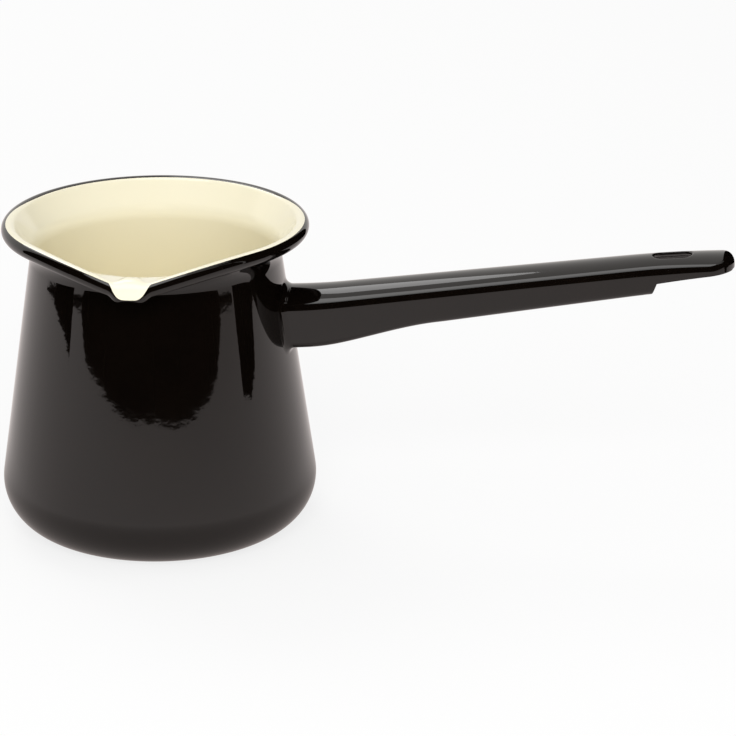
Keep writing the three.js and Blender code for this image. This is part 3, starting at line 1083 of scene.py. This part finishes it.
# %% [markdown]
# ## The floor in reflections
# Most of what the pot's wall mirrors is floor, so its brightness sets how black the pot looks. A real
# floor is brighter on the side of the back lamp and darker close round the pot, where it lies in the
# pot's own shade. A lamp for each would also light the cream lining. Two ramps over the floor, seen only
# in gloss, don't.

# %% Floor in reflections
lit_back, lit_left = 0.87, 0.5
lit_from, lit_to = -0.7, 0.4
shade_from, shade_to = 0.04, 0.12
dim_floor, lit_floor = (0.66, 0.58, 0.555, 1), (1.0, 0.91, 0.885, 1)
shaded_floor = (0.48, 0.42, 0.40, 1)


def floor_measure(operation, sockets):
    return floor_nodes.add("ShaderNodeVectorMath", {"operation": operation}, sockets, "Value")


lit_side = to_back * lit_back - to_right * lit_left
towards_light = floor_measure("DOT_PRODUCT", {0: floor_place, 1: tuple(lit_side)})
from_pot = floor_measure("LENGTH", {0: floor_place})
lit_share = floor_nodes.ramp(towards_light, lit_from, lit_to, "SMOOTHSTEP")
open_share = floor_nodes.ramp(from_pot, shade_from, shade_to, "SMOOTHSTEP")
lit_colour = floor_nodes.mix_colours(lit_share, dim_floor, lit_floor)
seen_colour = floor_nodes.mix_colours(open_share, shaded_floor, lit_colour)
glow_colour = floor_nodes.mix_colours(to_gloss, plain_white, seen_colour)
floor_glow = floor_nodes.add("ShaderNodeEmission", {}, {"Color": glow_colour, "Strength": 1.0})
floor_share = to_camera * camera_glow + to_gloss * gloss_glow
floor_mix = floor_nodes.add("ShaderNodeMixShader", {}, {0: floor_share, 1: floor_matte, 2: floor_glow})
floor_nodes.set(floor_nodes.tree.nodes["Material Output"].inputs["Surface"], floor_mix)
floor.data.materials.append(floor_white)
print("The floor's finish has", len(floor_nodes.tree.nodes), "nodes")

# %% [markdown]
# ## Dark screens
# Round the front and overhead, where a photographer and the ceiling would be, the room is dark. Painting
# the dark patches on the wall would be wrong, because they have to slide when the camera moves. So black
# folding screens, seen only in reflections, give the patch under the lip, the narrow streaks beside it,
# the dark line along the handle's shoulder and its dark end. A reflection can be read backwards: the line
# from the camera to the edge of a patch, mirrored at the wall, meets the floor at the foot of the screen.
# The posts below were placed in that way.

# %% Dark screens
screen_height = 1300.0
card_dark = (0.001, 0.001, 0.001, 1)
card_sockets = {"Base Color": card_dark, "Roughness": 1.0, "Specular IOR Level": 0.0}
card_black = principled("card_black", card_sockets)[0]


def round_the_room(angle, distance, height):
    """A place by its angle from the camera's side, to the right, and its distance from the pot."""
    return in_room(math.sin(angle) * distance, -math.cos(angle) * distance, height)


def folding_screen(name, posts):
    """A black folding screen that stands on posts, each with an angle in degrees and a distance."""
    points = [
        round_the_room(math.radians(angle), distance, height)
        for height in (0, screen_height)
        for angle, distance in posts
    ]
    count = len(posts)
    return stage_mesh(name, points, [(i, i + 1, count + i + 1, count + i) for i in range(count - 1)])


left_posts = [(-106, 490), (-95, 545), (-80, 565), (-72, 540)]
front_posts = [(-73, 750), (-64, 840), (-57, 665), (-40, 665), (-27, 635), (0, 680), (20, 630), (43, 650),
               (50, 690), (59, 1000), (71, 850)]
right_posts = [(71, 450), (78, 400), (85, 444), (91, 600), (100, 660), (120, 560), (144, 372)]
ceiling_half = 1500.0
ceiling_front = -720.0
ceiling_back = -400.0
ceiling_corners = [(-ceiling_half, ceiling_front), (ceiling_half, ceiling_front),
                   (ceiling_half, ceiling_back), (-ceiling_half, ceiling_back)]
screens = [
    folding_screen("left_screen", left_posts),
    folding_screen("front_screen", front_posts),
    folding_screen("right_screen", right_posts),
    stage_mesh("ceiling", [in_room(*corner, screen_height) for corner in ceiling_corners], [(0, 1, 2, 3)]),
]
for screen in screens:
    screen.visible_camera = False
    screen.visible_diffuse = False
    screen.visible_shadow = False
    screen.data.materials.append(card_black)
print("Dark screens:", ", ".join(screen.name for screen in screens))

# %% [markdown]
# ## Room and lamps
# Light from a white room comes from all sides and leaves soft shadows. Three large round lamps add
# direction: one overhead is only there to be mirrored in the handle, one beside the camera reaches into
# the pot, and one behind on the left gives the gleam along the handle and lights the lining from the
# side.

# %% Room and lamps
room_light = (0.57, 0.57, 0.57, 1)
room_seen = (0.90, 0.87, 0.84, 1)
world = bpy.data.worlds.new("white_room")
bpy.context.scene.world = world
room_nodes = Nodes(world)
room_gloss = room_nodes.add("ShaderNodeLightPath", {}, {}, "Is Glossy Ray")
room_colour = room_nodes.mix_colours(room_gloss, room_light, room_seen)
background = room_nodes.tree.nodes["Background"]
room_nodes.set(background.inputs["Color"], room_colour)
room_nodes.set(background.inputs["Strength"], 1.0)


def soft_lamp(name, place, size, power, lights, shows):
    """A round lamp that lights matte surfaces, shows in gloss, or both."""
    lamp_data = bpy.data.lights.new(name, "AREA")
    lamp_data.shape = "DISK"
    lamp_data.size = size * MM
    lamp_data.energy = power
    lamp = bpy.data.objects.new(name, lamp_data)
    lamp.location = place * MM
    lamp.rotation_euler = (look_at * MM - lamp.location).to_track_quat("-Z", "Y").to_euler()
    lamp.visible_diffuse = lights
    lamp.visible_glossy = shows
    bpy.context.scene.collection.objects.link(lamp)
    print(name, "lamp of", power, "W")


overhead_place = in_room(right=-170, back=-225, height=1200)
front_place = round_the_room(angle=math.radians(2), distance=1190, height=790)
back_left_place = in_room(right=-510, back=850, height=1200)
soft_lamp("overhead", overhead_place, size=800, power=3.4, lights=False, shows=True)
soft_lamp("front", front_place, size=700, power=11.0, lights=True, shows=False)
soft_lamp("back_left", back_left_place, size=880, power=5.3, lights=True, shows=True)

# %% [markdown]
# ## The view transform
# The skins have to lie where the solids lie. The colours are shown with the Standard view transform.

# %% View transform
bpy.context.scene.view_settings.view_transform = "Standard"
